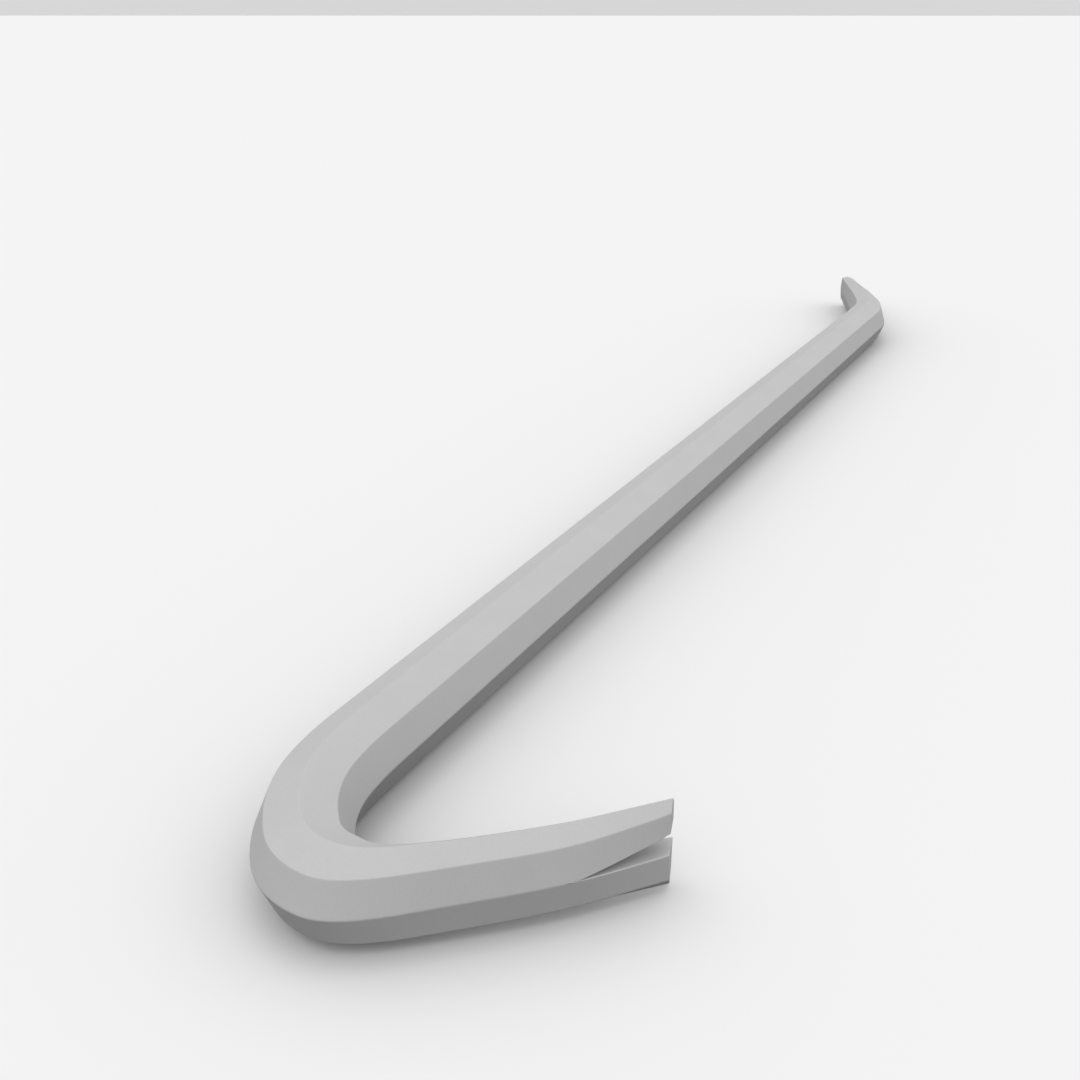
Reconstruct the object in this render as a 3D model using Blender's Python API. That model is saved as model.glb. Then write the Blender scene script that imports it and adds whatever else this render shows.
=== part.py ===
"""Gooseneck wrecking bar: one forging of octagonal steel bar, lying on its side.

Frame: +Y runs along the shaft from the hook to the chisel end, +X points to
the side on which the hook opens, +Z is up. The origin is at the centre of the
bounding box's bottom face. Lengths are in metres, angles in degrees.
"""

import math

import bmesh
import bpy
import numpy as np
from mathutils import Matrix, Vector

# ---------------------------------------------------------------- bar stock
ACROSS_FLATS = 0.0190  # regular octagon, one corner up and one down
CORNER_RADIUS = 0.0005  # rolled corners of the stock
R = ACROSS_FLATS / 2 / math.cos(math.radians(22.5))  # centre to corner

# ---------------------------------------------------------------- centreline
SHAFT_LENGTH = 0.4705  # straight length between the two bends
# Hook, from the shaft outwards: (radius, angle) of each arc, then a straight.
HOOK_ARCS = ((0.095, 8.0), (0.0435, 34.0), (0.0145, 71.0), (0.032, 14.0), (0.220, 10.0))
HOOK_STRAIGHT = 0.0110
CLAW_END_REACH = 0.0723  # from the shaft's axis to the middle of the claw's end
CLAW_END_SKEW = 32.0  # of the claw's flat end from square across the arm
# Chisel end, bent to the other side.
CHISEL_ARC = (0.0710, 22.0)
CHISEL_STRAIGHT = 0.0700

# ------------------------------------------------- sections, as parts of R
# Columns: distance along the centreline from the end of the straight shaft, half
# thickness in the plane of the bends, half height of the top corner, half height
# of the four corners beside it.
REGULAR = math.cos(math.radians(45))  # that height in a regular octagon
HOOK_SECTIONS = (
    (0.000, 1.00, 1.00, REGULAR),
    (0.030, 0.98, 0.99, 0.69),
    (0.050, 0.98, 0.95, 0.67),
    (0.058, 0.76, 0.95, 0.68),
    (0.065, 0.63, 0.96, 0.68),
    (0.077, 0.56, 0.94, 0.68),
    (0.090, 0.54, 0.93, 0.67),
    (0.117, 0.26, 0.96, 0.74),
)
CHISEL_SECTIONS = (
    (0.000, 1.00, 1.00, REGULAR),
    (0.006, 0.93, 1.00, 0.72),
    (0.020, 0.78, 1.00, 0.74),
    (0.040, 0.63, 0.99, 0.75),
    (0.066, 0.48, 0.86, 0.66),
    (0.098, 0.31, 0.63, 0.56),
)
CHISEL_FLATNESS = 0.5  # of its flanks at the end: 0 is the octagon's slope, 1 is flat

# ------------------------------------------------------------ nail slot
SLOT_LENGTH = 0.0204  # root to claw end
SLOT_MOUTH = 0.0044
SLOT_ROOT = 0.0001
SLOT_RISE = 0.0012  # of the slot's middle above mid height at the claw's end
CORNER_RISE = 0.0002  # of the corners beside top and bottom there
MOUTH_CHAMFER = 0.00027  # on the slot's outer edges at the claw's end, none at the root
OVERSHOOT = 1.25  # how far the cutters reach past the claw's end, in slot lengths

# ---------------------------------------------------------------- finish
GREY = 0.56  # matte light grey, linear
ROUGHNESS = 0.6

RINGS_PER_ARC = 14
OUTER_CORNER = 13  # point of a ring at mid height on the -X side of the shaft
UP = np.array((0.0, 0.0, 1.0))


def clear_scene():
    for obj in list(bpy.data.objects):
        bpy.data.objects.remove(obj)
    for collection in list(bpy.data.collections):
        bpy.data.collections.remove(collection)


def smooth_table(rows, s):
    """Monotone cubic interpolation of each column of rows at the distances s."""
    table = np.array(rows)
    x, values = table[:, 0], table[:, 1:]
    s = np.clip(s, x[0], x[-1])
    step = np.diff(x)[:, None]
    slope = np.diff(values, axis=0) / step
    tangent = np.zeros_like(values)
    both = slope[:-1] * slope[1:]
    inner = np.where(both > 0, 2 * both / np.where(both > 0, slope[:-1] + slope[1:], 1), 0)
    tangent[1:-1] = inner
    tangent[-1] = slope[-1]
    i = np.clip(np.searchsorted(x, s, side="right") - 1, 0, len(x) - 2)
    h = step[i]
    w = ((s - x[i]) / step[i, 0])[:, None]
    return (
        (2 * w**3 - 3 * w**2 + 1) * values[i]
        + (w**3 - 2 * w**2 + w) * h * tangent[i]
        + (3 * w**2 - 2 * w**3) * values[i + 1]
        + (w**3 - w**2) * h * tangent[i + 1]
    )


def bend_path(arcs, straight, straight_steps):
    """Distance, forward and sideways position, and heading of a bend's stations."""
    stations = [(0.0, 0.0, 0.0, 0.0)]

    def go(length, turn):
        s, forward, side, heading = stations[-1]
        middle = heading + turn / 2
        chord = length if turn == 0 else 2 * length / turn * math.sin(turn / 2)
        stations.append(
            (
                s + length,
                forward + chord * math.cos(middle),
                side + chord * math.sin(middle),
                heading + turn,
            )
        )

    for radius, degrees in arcs:
        steps = RINGS_PER_ARC if degrees > 20 else RINGS_PER_ARC // 2
        turn = math.radians(degrees) / steps
        for _ in range(steps):
            go(radius * turn, turn)
    for _ in range(straight_steps):
        go(straight / straight_steps, 0.0)
    return np.array(stations)


def section(half_thickness, half_height, corner_height, rise, flatness):
    """Octagon with rounded corners as (sideways, up) points, anticlockwise.

    rise lifts the corners beside top and bottom; flatness moves them out, from 0 to 1.
    """
    corner_side = (REGULAR + (1 - REGULAR) * flatness) * half_thickness
    corners = np.array(
        [
            (half_thickness, 0.0),
            (corner_side, corner_height + rise),
            (0.0, half_height),
            (-corner_side, corner_height + rise),
            (-half_thickness, 0.0),
            (-corner_side, rise - corner_height),
            (0.0, -half_height),
            (corner_side, rise - corner_height),
        ]
    )
    setback = CORNER_RADIUS * math.tan(math.radians(22.5))
    points = []
    for k in range(8):
        here, before, after = corners[k], corners[k - 1], corners[(k + 1) % 8]
        start = here + (before - here) * setback / np.linalg.norm(before - here)
        end = here + (after - here) * setback / np.linalg.norm(after - here)
        points += [start, 0.25 * start + 0.5 * here + 0.25 * end, end]
    return np.array(points)


def rings_of_bend(path, table, start_y, along, turn_to, end_rise=0.0, end_flatness=0.0):
    """Rings of points along a bend that leaves the shaft at start_y.

    along is +1 towards +Y or -1 towards -Y; turn_to is the side, +1 for +X. The corners beside
    top and bottom rise to end_rise over the slot's length before the end, and the flanks reach
    end_flatness evenly along the bend.
    """
    rings = []
    for (s, forward, side, heading), sizes in zip(path, smooth_table(table, path[:, 0]) * R):
        rise = end_rise * max(1 - (path[-1, 0] - s) / SLOT_LENGTH, 0.0)
        flatness = end_flatness * s / path[-1, 0]
        across = np.array([math.cos(heading), -turn_to * along * math.sin(heading)])
        centre = np.array([turn_to * side, start_y + along * forward])
        points = section(*sizes, rise, flatness)
        ring = [(*(centre + across * lateral), up) for lateral, up in points]
        rings.append(np.array(ring))
    return rings


def mesh_of_rings(name, rings):
    mesh = bmesh.new()
    rows = [[mesh.verts.new(point) for point in ring] for ring in rings]
    count = len(rows[0])
    for first, second in zip(rows, rows[1:]):
        for k in range(count):
            n = (k + 1) % count
            mesh.faces.new((first[k], second[k], second[n], first[n]))
    mesh.faces.new(rows[0])
    mesh.faces.new(rows[-1][::-1])
    bmesh.ops.recalc_face_normals(mesh, faces=mesh.faces)
    data = bpy.data.meshes.new(name)
    mesh.to_mesh(data)
    mesh.free()
    return bpy.data.objects.new(name, data)


def mesh_of_hull(name, points):
    mesh = bmesh.new()
    for point in points:
        mesh.verts.new(point)
    bmesh.ops.convex_hull(mesh, input=mesh.verts)
    bmesh.ops.recalc_face_normals(mesh, faces=mesh.faces)
    data = bpy.data.meshes.new(name)
    mesh.to_mesh(data)
    mesh.free()
    obj = bpy.data.objects.new(name, data)
    obj.hide_render = True
    obj.display_type = "WIRE"
    return obj


def claw_end(rings, path):
    """Slides the last ring along the arm onto the claw's flat end; returns the arm's direction."""
    heading = path[-1, 3]
    arm = np.array([math.sin(heading), -math.cos(heading), 0.0])
    middle = rings[-1].mean(axis=0)
    middle += (CLAW_END_REACH - middle[0]) / arm[0] * arm
    facing = heading - math.radians(CLAW_END_SKEW)
    normal = np.array([math.sin(facing), -math.cos(facing), 0.0])
    rings[-1] = rings[-1] + ((middle - rings[-1]) @ normal / (arm @ normal))[:, None] * arm
    return arm


def slot_wedge(tip, arm):
    """The slot itself: a wedge along the arm, from its root to past the claw's end."""
    outwards = np.array([arm[1], -arm[0], 0.0])
    points = []
    for reach in (0.0, OVERSHOOT):
        half = (SLOT_ROOT + (SLOT_MOUTH - SLOT_ROOT) * reach) / 2
        for side in (-2 * R, 2 * R):
            base = tip + arm * SLOT_LENGTH * (reach - 1) + outwards * side
            points += [base + UP * (SLOT_RISE * reach + half), base + UP * (SLOT_RISE * reach - half)]
    return mesh_of_hull("nail_slot_cutter", points)


def chamfer_groove(outer_root, outer_tip):
    """A 45 degree groove along the claw's outer edge, deep enough to chamfer the slot."""
    edge = outer_tip - outer_root
    outwards = np.array([edge[1], -edge[0], 0.0]) / np.linalg.norm(edge)
    points = []
    for reach in (0.0, OVERSHOOT):
        half = (SLOT_ROOT + (SLOT_MOUTH - SLOT_ROOT) * reach) / 2 + MOUTH_CHAMFER * reach
        base = outer_root + edge * reach + UP * SLOT_RISE * reach
        points.append(base - outwards * half)
        for side in (-1, 1):
            points.append(base + outwards * 2 * R + UP * side * (half + 2 * R))
    return mesh_of_hull("slot_chamfer_cutter", points)


def cut(bar, cutter):
    modifier = bar.modifiers.new(cutter.name, "BOOLEAN")
    modifier.operation = "DIFFERENCE"
    modifier.solver = "EXACT"
    modifier.object = cutter


def matte_grey():
    material = bpy.data.materials.new("matte_grey_steel")
    material.use_nodes = True
    shader = material.node_tree.nodes["Principled BSDF"]
    shader.inputs["Base Color"].default_value = (GREY, GREY, GREY, 1.0)
    shader.inputs["Roughness"].default_value = ROUGHNESS
    shader.inputs["Metallic"].default_value = 0.0
    return material


def stand_on_origin(bar, others):
    """Moves the meshes so that the finished bar's box stands on the origin."""
    finished = bar.evaluated_get(bpy.context.evaluated_depsgraph_get()).data
    points = np.array([vertex.co for vertex in finished.vertices])
    low, high = points.min(axis=0), points.max(axis=0)
    origin = Vector(((low[0] + high[0]) / 2, (low[1] + high[1]) / 2, low[2]))
    for obj in (bar, *others):
        obj.data.transform(Matrix.Translation(-origin))


def main():
    clear_scene()
    product = bpy.data.collections.new("gooseneck_wrecking_bar")
    cutters = bpy.data.collections.new("cutters")
    for collection in (product, cutters):
        bpy.context.scene.collection.children.link(collection)

    # The hook leaves the shaft at y = 0 towards -Y; the chisel at SHAFT_LENGTH.
    hook_path = bend_path(HOOK_ARCS, HOOK_STRAIGHT, 3)
    chisel_path = bend_path((CHISEL_ARC,), CHISEL_STRAIGHT, 10)
    hook = rings_of_bend(hook_path, HOOK_SECTIONS, 0.0, -1, 1, CORNER_RISE)
    chisel = rings_of_bend(
        chisel_path, CHISEL_SECTIONS, SHAFT_LENGTH, 1, -1, end_flatness=CHISEL_FLATNESS
    )
    arm = claw_end(hook, hook_path)

    bar = mesh_of_rings("forged_bar", hook[::-1] + chisel)
    bar.data.materials.append(matte_grey())
    bar.data.shade_smooth()
    bar.data.set_sharp_from_angle(angle=math.radians(25))
    product.objects.link(bar)

    root = int(np.abs(hook_path[-1, 0] - hook_path[:, 0] - SLOT_LENGTH).argmin())
    slot = slot_wedge(hook[-1].mean(axis=0), arm)
    groove = chamfer_groove(hook[root][OUTER_CORNER], hook[-1][OUTER_CORNER])
    for cutter in (slot, groove):
        cutters.objects.link(cutter)
        cut(bar, cutter)
    stand_on_origin(bar, (slot, groove))


main()
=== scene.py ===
"""Gooseneck wrecking bar: its fine surface and finish, a pale floor, soft light and the camera.

Lengths are in metres, angles in degrees. The fine surface repeats the CAD part's design with more
rings and rounder corners, real slot edges and the slight unevenness of a forging.
"""

import math

import bmesh
import bpy
import numpy as np
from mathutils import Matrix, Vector, noise

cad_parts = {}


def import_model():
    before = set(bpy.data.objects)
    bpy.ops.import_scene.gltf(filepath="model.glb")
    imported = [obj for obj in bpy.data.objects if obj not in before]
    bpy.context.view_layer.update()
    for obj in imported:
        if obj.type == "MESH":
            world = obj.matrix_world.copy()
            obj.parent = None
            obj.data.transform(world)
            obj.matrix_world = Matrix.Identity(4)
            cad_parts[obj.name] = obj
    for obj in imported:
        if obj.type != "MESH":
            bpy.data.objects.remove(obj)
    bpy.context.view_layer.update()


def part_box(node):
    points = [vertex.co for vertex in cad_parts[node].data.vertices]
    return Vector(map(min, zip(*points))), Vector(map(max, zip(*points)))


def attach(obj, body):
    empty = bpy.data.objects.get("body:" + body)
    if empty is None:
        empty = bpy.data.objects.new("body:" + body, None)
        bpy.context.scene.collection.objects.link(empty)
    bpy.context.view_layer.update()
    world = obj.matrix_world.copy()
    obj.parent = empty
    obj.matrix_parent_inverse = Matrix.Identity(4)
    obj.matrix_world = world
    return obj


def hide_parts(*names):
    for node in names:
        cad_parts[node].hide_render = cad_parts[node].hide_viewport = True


# ---------------------------------------------------------------- bar stock
ACROSS_FLATS = 0.0190  # regular octagon, one corner up and one down
R = ACROSS_FLATS / 2 / math.cos(math.radians(22.5))  # centre to corner
CORNER_SETBACK = 0.0005 * math.tan(math.radians(22.5))  # of the rounding, along each flat

# ---------------------------------------------------------------- centreline
SHAFT_LENGTH = 0.4705  # straight length between the two bends
# Hook, from the shaft outwards: (radius, angle) of each arc, then a straight.
HOOK_ARCS = ((0.095, 8.0), (0.0435, 34.0), (0.0145, 71.0), (0.032, 14.0), (0.220, 10.0))
HOOK_STRAIGHT = 0.0110
CLAW_END_REACH = 0.0723  # from the shaft's axis to the middle of the claw's end
CLAW_END_SKEW = 32.0  # of the claw's flat end from square across the arm
SKEW_RUN = HOOK_STRAIGHT / 3  # length over which the rings turn to the end's skew
CHISEL_ARCS = ((0.0710, 22.0),)
CHISEL_STRAIGHT = 0.0700

# ------------------------------------------------- sections, as parts of R
# Columns: distance along the centreline from the end of the straight shaft, half
# thickness in the plane of the bends, half height of the top corner, half height
# of the four corners beside it.
REGULAR = math.cos(math.radians(45))  # that height in a regular octagon
HOOK_SECTIONS = (
    (0.000, 1.00, 1.00, REGULAR),
    (0.030, 0.98, 0.99, 0.69),
    (0.050, 0.98, 0.95, 0.67),
    (0.058, 0.76, 0.95, 0.68),
    (0.065, 0.63, 0.96, 0.68),
    (0.077, 0.56, 0.94, 0.68),
    (0.090, 0.54, 0.93, 0.67),
    (0.117, 0.26, 0.96, 0.74),
)
CHISEL_SECTIONS = (
    (0.000, 1.00, 1.00, REGULAR),
    (0.006, 0.93, 1.00, 0.72),
    (0.020, 0.78, 1.00, 0.74),
    (0.040, 0.63, 0.99, 0.75),
    (0.066, 0.48, 0.86, 0.66),
    (0.098, 0.31, 0.63, 0.56),
)
CHISEL_FLATNESS = 0.5  # of its flanks at the end: 0 is the octagon's slope, 1 is flat

# ------------------------------------------------------------ nail slot
SLOT_LENGTH = 0.0204  # root to claw end
SLOT_MOUTH = 0.0044
SLOT_ROOT = 0.0001
SLOT_RISE = 0.0012  # of the slot's middle above mid height at the claw's end
CORNER_RISE = 0.0002  # of the corners beside top and bottom there
MOUTH_CHAMFER = 0.00027  # on the slot's outer edges at the claw's end
ROOT_CHAMFER = 0.00015  # on the same edges at the root
INNER_CHAMFER = 0.0001  # on the slot's edges inside the hook
CHAMFER_RUN_OUT = 0.0035  # length before the root in which the chamfers start
CHAMFER_HEIGHT = 0.8  # of a chamfer, as a part of its depth
CHAMFER_EASE = 0.3  # rounding of a chamfer's own edges, as a part of its depth

# ------------------------------------------------------------ fine surface
BEND_STEP = 0.0011  # between rings in the bends
SHAFT_STEP = 0.0035
END_EDGE = 0.0001  # rounding of the edges round both ends
END_EDGE_START = 0.3  # the part of it that the ring before the last takes
ROOT_STEPS = (0.00003, 0.00008, 0.00015, 0.0004, 0.0008, 0.0015)  # to rings past the slot's root
CORNER_POINTS = 5
WALL_POINTS = 7
LONGEST_SETBACK = 0.45  # of a rounded corner, as a part of each edge beside it
FLAT_PARTS = (0.2, 0.5, 0.8)  # places of the points along a flat
LOW_PARTS = (0.25, 0.5, 0.75, 1.0)  # places of the points up the rounded start of a flank
LOW_SHARE = 0.12  # least part of a flank that this start takes
FORGING_DEPTH = 0.00006  # of the slight hollows that forging leaves
FORGING_SIZE = 0.013
FORGING_MIX = (0.5, 0.4, 0.1)  # even, broad and fine shares of the depth
FINE_FORGING = 3  # times finer than the broad hollows
FLAT_FACE_WEIGHT = 80

# ---------------------------------------------------------------- finish
PAINT = 0.577  # the grey of the finish, linear
SHINE = 0.04  # specular level, for a matte finish
ROUGHNESS = (0.56, 0.66)
MOTTLING_SCALE = 90
GRAIN_SCALE = 1700
UNEVEN_TONE = (0.985, 1.015)  # by mottling and by grain
GRAIN_BUMP = 0.35
GRAIN_DEPTH = 0.00004


# ---------------------------------------------------------------- centreline
def along_bend(arcs, s):
    """Forward and sideways position and heading at distance s into a bend."""
    forward, side, heading = 0.0, 0.0, 0.0
    for radius, degrees in arcs:
        turn = min(max(s, 0.0) / radius, math.radians(degrees))
        forward += radius * (math.sin(heading + turn) - math.sin(heading))
        side += radius * (math.cos(heading) - math.cos(heading + turn))
        heading += turn
        s -= radius * math.radians(degrees)
    s = max(s, 0.0)
    return forward + s * math.cos(heading), side + s * math.sin(heading), heading


def arcs_length(arcs):
    return sum(radius * math.radians(degrees) for radius, degrees in arcs)


def smooth_table(rows, s):
    """Monotone cubic interpolation of each column of rows at the distance s."""
    table = np.array(rows)
    x, values = table[:, 0], table[:, 1:]
    s = min(max(s, x[0]), x[-1])
    step = np.diff(x)[:, None]
    slope = np.diff(values, axis=0) / step
    tangent = np.zeros_like(values)
    both = slope[:-1] * slope[1:]
    tangent[1:-1] = np.where(both > 0, 2 * both / np.where(both > 0, slope[:-1] + slope[1:], 1), 0)
    tangent[-1] = slope[-1]
    i = min(int(np.searchsorted(x, s, side="right")) - 1, len(x) - 2)
    h = step[i, 0]
    w = (s - x[i]) / h
    return (
        (2 * w**3 - 3 * w**2 + 1) * values[i]
        + (w**3 - 2 * w**2 + w) * h * tangent[i]
        + (3 * w**2 - 2 * w**3) * values[i + 1]
        + (w**3 - w**2) * h * tangent[i + 1]
    )


def smooth_step(x):
    x = min(max(x, 0.0), 1.0)
    return x * x * (3 - 2 * x)


# ---------------------------------------------------------------- section
def rounded_corner(before, here, after, setback, count):
    """count points of the curve that rounds the corner at here."""
    before, here, after = (np.array(p, float) for p in (before, here, after))
    to_before, to_after = before - here, after - here
    back, ahead = np.linalg.norm(to_before), np.linalg.norm(to_after)
    reach = min(setback, LONGEST_SETBACK * back, LONGEST_SETBACK * ahead)
    start = here + to_before * reach / max(back, 1e-9)
    end = here + to_after * reach / max(ahead, 1e-9)
    parts = np.linspace(0, 1, count)
    return [(1 - t) ** 2 * start + 2 * t * (1 - t) * here + t * t * end for t in parts]


class HalfSection:
    """The upper half of a cross section, as (lateral, up) points.

    lift is the height of the slot's wall above mid height, 0 where there is no slot, and
    flatness moves the corner beside the top out, from 0 to 1.
    """

    def __init__(self, sizes, lift=0.0, chamfers=(0.0, 0.0), flatness=0.0):
        self.a, half_height, corner_height = sizes
        corner_side = (REGULAR + (1 - REGULAR) * flatness) * self.a
        self.side = np.array((corner_side, corner_height))
        self.top = np.array((0.0, half_height))
        self.lift = lift
        self.chamfers = chamfers
        edge = self.side - np.array((self.a, 0.0))
        self.low_end = np.array((self.a, 0.0)) + edge * CORNER_SETBACK / np.linalg.norm(edge)

    def lateral(self, up):
        """Half thickness at a height, with the rounding of the corner at mid height."""
        x_end, up_end = self.low_end
        if up < up_end:
            t = (up / up_end + 1) / 2
            return x_end + 2 * t * (1 - t) * (self.a - x_end)
        return self.a + (self.side[0] - self.a) * up / self.side[1]

    def slot_edge(self, chamfer):
        """Points from the slot's wall over its chamfer to the outer surface."""
        up = self.lift + CHAMFER_HEIGHT * chamfer
        wall = np.array((self.lateral(self.lift) - chamfer, self.lift))
        skin = np.array((self.lateral(up), up))
        higher = np.array((self.lateral(up + chamfer), up + chamfer))
        deeper = wall - np.array((chamfer, 0.0))
        ease = CHAMFER_EASE * chamfer
        return rounded_corner(deeper, wall, skin, ease, 3) + rounded_corner(wall, skin, higher, ease, 3)

    def flank(self, chamfer):
        """One side of the section, from mid height or the slot to the corner beside the top."""
        points = self.slot_edge(chamfer)
        start = points[-1][1]
        corner = rounded_corner(
            (self.lateral(start), start), self.side, self.top, CORNER_SETBACK, CORNER_POINTS
        )
        stop = corner[0][1]
        bend = max(self.low_end[1], start + LOW_SHARE * (stop - start))
        for part in LOW_PARTS:
            up = start + part * (bend - start)
            points.append(np.array((self.lateral(up), up)))
        for part in FLAT_PARTS:
            up = bend + part * (stop - bend)
            points.append(np.array((self.lateral(up), up)))
        points += corner
        return points

    def upper_flat(self):
        """Points on the flat between the side corner and the top corner."""
        edge = self.top - self.side
        start = self.side + edge * CORNER_SETBACK / np.linalg.norm(edge)
        mirrored = self.side * np.array((-1, 1))
        end = rounded_corner(self.side, self.top, mirrored, CORNER_SETBACK, 3)[0]
        return [start + part * (end - start) for part in FLAT_PARTS]

    def skin(self):
        """The outer surface from the inner side (+) over the top to the outer side (-)."""
        flip = np.array((-1, 1))
        inner = self.flank(self.chamfers[0])
        outer = [p * flip for p in self.flank(self.chamfers[1])]
        flat = self.upper_flat()
        top = rounded_corner(self.side, self.top, self.side * flip, CORNER_SETBACK, CORNER_POINTS)
        return inner + flat + top + [p * flip for p in flat[::-1]] + outer[::-1]

    def wall(self, skin):
        """The slot's wall, from the skin's last point back to its first."""
        across = skin[0] - skin[-1]
        return [skin[-1] + across * k / (WALL_POINTS + 1) for k in range(1, WALL_POINTS + 1)]


# ---------------------------------------------------------------- rings
def slot_lift(from_root, side):
    """Distance of the slot's upper (side 1) or lower (side -1) wall from mid height."""
    if from_root <= 0:
        return 0.0
    root = SLOT_ROOT / 2
    short = max(root - from_root, 0.0)
    half = math.sqrt(root**2 - short**2) + from_root * (SLOT_MOUTH - SLOT_ROOT) / 2 / SLOT_LENGTH
    return half + side * SLOT_RISE * from_root / SLOT_LENGTH


def placed(points, s, arcs, start_y, along, turn_to, skew=0.0):
    """Section points as places in space; skew slides them along the arm by their lateral."""
    found = []
    for lateral, up in points:
        forward, side, heading = along_bend(arcs, s)
        slide = skew * lateral
        across = (math.cos(heading), -turn_to * along * math.sin(heading))
        x = turn_to * (side + slide * math.sin(heading)) + across[0] * lateral
        y = start_y + along * (forward + slide * math.cos(heading)) + across[1] * lateral
        found.append((x, y, up))
    return found


def shrunk(points, centre, inset):
    """Points drawn in towards centre by about inset at the furthest of them."""
    points = np.array(points)
    reach = np.abs(points - centre).max(axis=0)
    return list(centre + (points - centre) * (1 - inset / reach))


def hook_stations():
    """Distances of the hook's rings, and that of the slot's root, up to the claw's end."""
    forward, side, heading = along_bend(HOOK_ARCS, arcs_length(HOOK_ARCS) + HOOK_STRAIGHT)
    end = arcs_length(HOOK_ARCS) + HOOK_STRAIGHT + (CLAW_END_REACH - side) / math.sin(heading)
    root = end - SLOT_LENGTH
    before = list(np.linspace(0, root - CHAMFER_RUN_OUT, round(root / BEND_STEP)))
    run_out = list(np.linspace(root - CHAMFER_RUN_OUT, root, 6)[1:])
    opening = [root + step for step in ROOT_STEPS]
    open_to_end = list(np.linspace(opening[-1], end - END_EDGE, 20)[1:])
    return before + run_out + opening + open_to_end, root, end


def hook_rings(side):
    """(skin, wall) of each ring of one half of the hook; wall is None before the slot."""
    stations, root, end = hook_stations()
    rings = []
    slant = math.tan(math.radians(CLAW_END_SKEW))
    endings = [(end - END_EDGE_START * END_EDGE, END_EDGE_START * END_EDGE), (end, END_EDGE)]
    for s, inset in [(s, 0.0) for s in stations] + endings:
        grown = smooth_step((s - root + CHAMFER_RUN_OUT) / CHAMFER_RUN_OUT)
        open_part = max(s - root, 0.0) / SLOT_LENGTH
        outer = ROOT_CHAMFER + (MOUTH_CHAMFER - ROOT_CHAMFER) * open_part
        chamfers = (INNER_CHAMFER * grown, outer * grown)
        sizes = smooth_table(HOOK_SECTIONS, s) * R + (0, 0, side * CORNER_RISE * open_part)
        half = HalfSection(sizes, slot_lift(s - root, side), chamfers)
        skin = half.skin()
        wall = half.wall(skin) if s >= root - 1e-9 else None
        if inset:
            centre = np.mean(skin + wall, axis=0)
            skin, wall = shrunk(skin, centre, inset), shrunk(wall, centre, inset)
        skew = slant * min(max(1 - (end - s) / SKEW_RUN, 0.0), 1.0)
        place = dict(s=s, arcs=HOOK_ARCS, start_y=0.0, along=-1, turn_to=1, skew=skew)
        rings.append((placed(skin, **place), wall and placed(wall, **place)))
    return rings


def chisel_rings():
    """Skins of the chisel's upper half, from the shaft to its end."""
    end = arcs_length(CHISEL_ARCS) + CHISEL_STRAIGHT
    stations = [(s, 0.0) for s in np.linspace(0, end - END_EDGE, round(end / BEND_STEP / 1.5))]
    stations += [(end - END_EDGE_START * END_EDGE, END_EDGE_START * END_EDGE), (end, END_EDGE)]
    rings = []
    for s, inset in stations:
        flatness = CHISEL_FLATNESS * s / end
        skin = HalfSection(smooth_table(CHISEL_SECTIONS, s) * R, flatness=flatness).skin()
        if inset:
            skin = shrunk(skin, np.zeros(2), inset)
        rings.append(placed(skin, s, CHISEL_ARCS, SHAFT_LENGTH, 1, -1))
    return rings


def shaft_rings():
    skin = HalfSection(smooth_table(HOOK_SECTIONS, 0.0) * R).skin()
    count = round(SHAFT_LENGTH / SHAFT_STEP)
    return [[(x, SHAFT_LENGTH * k / count, z) for x, z in skin] for k in range(1, count)]


# ---------------------------------------------------------------- the bar
def add_half(mesh, side):
    """The bar's upper (side 1) or lower (side -1) half: skin, slot wall and both ends."""
    hook = hook_rings(side)[::-1]
    skins = [skin for skin, _ in hook] + shaft_rings() + chisel_rings()
    rows = [[mesh.verts.new((x, y, side * z)) for x, y, z in skin] for skin in skins]
    for first, second in zip(rows, rows[1:]):
        for k in range(len(first) - 1):
            mesh.faces.new((first[k], second[k], second[k + 1], first[k + 1]))
    walls = []
    for row, (_, wall) in zip(rows, hook):
        if wall is None:
            break
        walls.append([row[-1], *(mesh.verts.new((x, y, side * z)) for x, y, z in wall), row[0]])
    for first, second in zip(walls, walls[1:]):
        for k in range(len(first) - 1):
            mesh.faces.new((first[k], second[k], second[k + 1], first[k + 1]))
    mesh.faces.new(rows[0] + walls[0][1:-1])
    mesh.faces.new(rows[-1])


def forge_unevenness(mesh):
    """Sinks the surface by up to FORGING_DEPTH in broad, shallow hollows."""
    mesh.normal_update()
    even_share, broad_share, fine_share = FORGING_MIX
    moves = []
    for vertex in mesh.verts:
        broad = noise.noise(vertex.co / FORGING_SIZE)
        fine = noise.noise(vertex.co / (FORGING_SIZE / FINE_FORGING) + Vector((7.0, 3.0, 5.0)))
        share = even_share + broad_share * broad + fine_share * fine
        moves.append(-FORGING_DEPTH * share * vertex.normal)
    for vertex, move in zip(mesh.verts, moves):
        vertex.co += move


def make_bar(cad_low, cad_high):
    mesh = bmesh.new()
    add_half(mesh, 1)
    add_half(mesh, -1)
    bmesh.ops.remove_doubles(mesh, verts=mesh.verts, dist=2e-6)
    bmesh.ops.dissolve_degenerate(mesh, edges=mesh.edges, dist=1e-6)
    bmesh.ops.recalc_face_normals(mesh, faces=mesh.faces)
    points = np.array([vertex.co for vertex in mesh.verts])
    middle = (points.min(axis=0) + points.max(axis=0)) / 2
    cad_middle = (cad_low + cad_high) / 2
    bmesh.ops.translate(mesh, verts=mesh.verts, vec=cad_middle - Vector(middle))
    forge_unevenness(mesh)
    data = bpy.data.meshes.new("bar_surface")
    mesh.to_mesh(data)
    mesh.free()
    data.shade_smooth()
    bar = bpy.data.objects.new("bar_surface", data)
    bpy.context.scene.collection.objects.link(bar)
    normals = bar.modifiers.new("flat_faces", "WEIGHTED_NORMAL")
    normals.weight = FLAT_FACE_WEIGHT
    return bar


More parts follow.
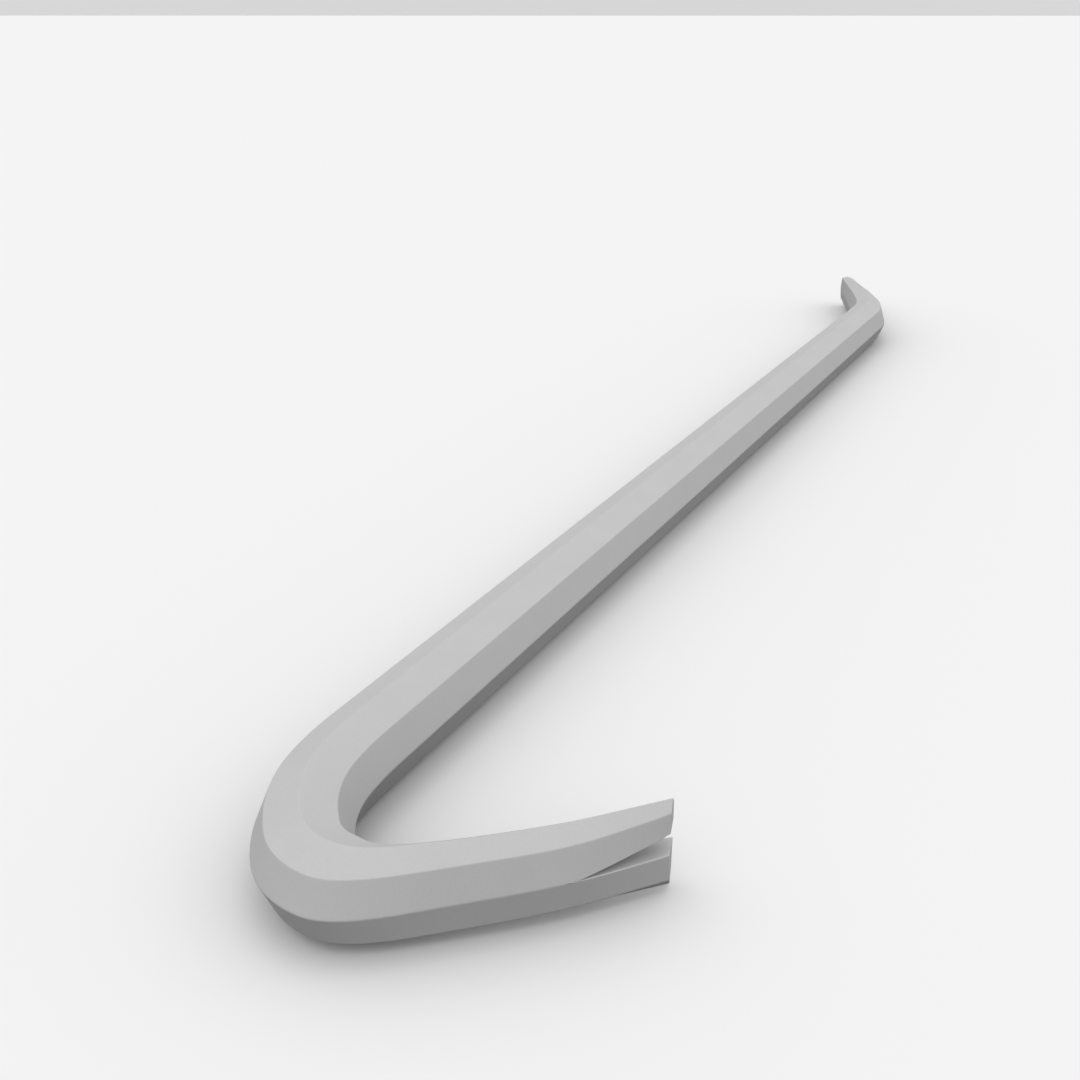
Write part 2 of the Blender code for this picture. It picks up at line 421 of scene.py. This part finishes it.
# ---------------------------------------------------------------- finish
def bar_finish():
    """Matte light grey finish with fine grain and faint mottling."""
    material = bpy.data.materials.new("matte_grey_steel")
    material.use_nodes = True
    nodes, links = material.node_tree.nodes, material.node_tree.links
    shader = nodes["Principled BSDF"]
    shader.inputs["Metallic"].default_value = 0.0
    shader.inputs["Specular IOR Level"].default_value = SHINE

    place = nodes.new("ShaderNodeTexCoord").outputs["Object"]

    def noise_node(scale, detail):
        node = nodes.new("ShaderNodeTexNoise")
        node.inputs["Scale"].default_value = scale
        node.inputs["Detail"].default_value = detail
        links.new(place, node.inputs["Vector"])
        return node.outputs["Fac"]

    def mapped(source, low, high):
        """The noise's middle range, spread over low to high."""
        node = nodes.new("ShaderNodeMapRange")
        node.inputs["From Min"].default_value = 0.3
        node.inputs["From Max"].default_value = 0.7
        node.inputs["To Min"].default_value = low
        node.inputs["To Max"].default_value = high
        links.new(source, node.inputs["Value"])
        return node.outputs["Result"]

    mottling = noise_node(MOTTLING_SCALE, 3)
    grain = noise_node(GRAIN_SCALE, 2)
    tone = nodes.new("ShaderNodeMath")
    tone.operation = "MULTIPLY"
    low, high = UNEVEN_TONE
    links.new(mapped(mottling, low, high), tone.inputs[0])
    links.new(mapped(grain, PAINT * low, PAINT * high), tone.inputs[1])
    colour = nodes.new("ShaderNodeCombineColor")
    for channel in ("Red", "Green", "Blue"):
        links.new(tone.outputs["Value"], colour.inputs[channel])
    links.new(colour.outputs["Color"], shader.inputs["Base Color"])
    links.new(mapped(mottling, *ROUGHNESS), shader.inputs["Roughness"])

    bump = nodes.new("ShaderNodeBump")
    bump.inputs["Strength"].default_value = GRAIN_BUMP
    bump.inputs["Distance"].default_value = GRAIN_DEPTH
    links.new(grain, bump.inputs["Height"])
    links.new(bump.outputs["Normal"], shader.inputs["Normal"])
    return material


# ---------------------------------------------------------------- stage
SKY_HORIZON = 0.89
SKY_RISE = 0.15  # brighter overhead by this much
SKY_FRONT = 0.22  # brighter on the camera's side by this much, and darker behind
SKY_FRONT_AZIMUTH = 27.0  # of that side, from -Y towards +X
SKY_BOTTOM = -0.02  # height on the unit sphere below which the sky is dark
FLOOR_TONE = 0.915
FLOOR_HALF = 400.0
FLOOR_CLEARANCE = 0.00005  # below the bar

CAMERA_PLACE = (0.1231, -0.4584, 0.1583)
CAMERA_TILT = 68.07  # from straight down
CAMERA_TURN = 26.03  # from facing +Y, towards -X
CAMERA_LENS = 43.46  # millimetres, on a sensor 36 mm wide


def make_floor():
    data = bpy.data.meshes.new("floor")
    corners = [(x * FLOOR_HALF, y * FLOOR_HALF, 0.0) for x, y in ((-1, -1), (1, -1), (1, 1), (-1, 1))]
    data.from_pydata(corners, [], [(0, 1, 2, 3)])
    floor = bpy.data.objects.new("floor", data)
    floor.location.z = -FLOOR_CLEARANCE
    bpy.context.scene.collection.objects.link(floor)
    material = bpy.data.materials.new("pale_floor")
    material.use_nodes = True
    shader = material.node_tree.nodes["Principled BSDF"]
    shader.inputs["Base Color"].default_value = (FLOOR_TONE, FLOOR_TONE, FLOOR_TONE, 1)
    shader.inputs["Roughness"].default_value = 1.0
    shader.inputs["Specular IOR Level"].default_value = 0.0
    data.materials.append(material)
    floor.visible_diffuse = False  # the light is soft from above, with little bounce from below


def make_light():
    """A plain white sky, brighter overhead and behind the camera, and dark below the horizon."""
    world = bpy.data.worlds.new("soft_studio")
    bpy.context.scene.world = world
    world.use_nodes = True
    nodes, links = world.node_tree.nodes, world.node_tree.links
    direction = nodes.new("ShaderNodeTexCoord").outputs["Generated"]
    facing = math.radians(SKY_FRONT_AZIMUTH)
    slope = nodes.new("ShaderNodeVectorMath")
    slope.operation = "DOT_PRODUCT"
    slope.inputs[1].default_value = (
        SKY_FRONT * math.sin(facing),
        -SKY_FRONT * math.cos(facing),
        SKY_RISE,
    )
    links.new(direction, slope.inputs[0])
    height = nodes.new("ShaderNodeSeparateXYZ")
    links.new(direction, height.inputs["Vector"])
    above = nodes.new("ShaderNodeMath")
    above.operation = "GREATER_THAN"
    above.inputs[1].default_value = SKY_BOTTOM
    links.new(height.outputs["Z"], above.inputs[0])
    total = nodes.new("ShaderNodeMath")
    total.operation = "ADD"
    total.inputs[1].default_value = SKY_HORIZON
    links.new(slope.outputs["Value"], total.inputs[0])
    strength = nodes.new("ShaderNodeMath")
    strength.operation = "MULTIPLY"
    links.new(total.outputs["Value"], strength.inputs[0])
    links.new(above.outputs["Value"], strength.inputs[1])
    links.new(strength.outputs["Value"], nodes["Background"].inputs["Strength"])
    nodes["Background"].inputs["Color"].default_value = (1, 1, 1, 1)


def make_camera():
    camera = bpy.data.objects.new("camera", bpy.data.cameras.new("camera"))
    camera.location = CAMERA_PLACE
    camera.rotation_euler = (math.radians(CAMERA_TILT), 0.0, math.radians(CAMERA_TURN))
    camera.data.lens = CAMERA_LENS
    camera.data.sensor_width = 36.0
    camera.data.clip_start = 0.01
    bpy.context.scene.collection.objects.link(camera)
    bpy.context.scene.camera = camera


def main():
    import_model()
    bar = make_bar(*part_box("forged_bar"))
    bar.data.materials.append(bar_finish())
    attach(bar, "root")
    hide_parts("forged_bar")
    make_floor()
    make_light()
    make_camera()
    bpy.context.scene.view_settings.view_transform = "Standard"
    bpy.context.scene.cycles.diffuse_bounces = 0


main()
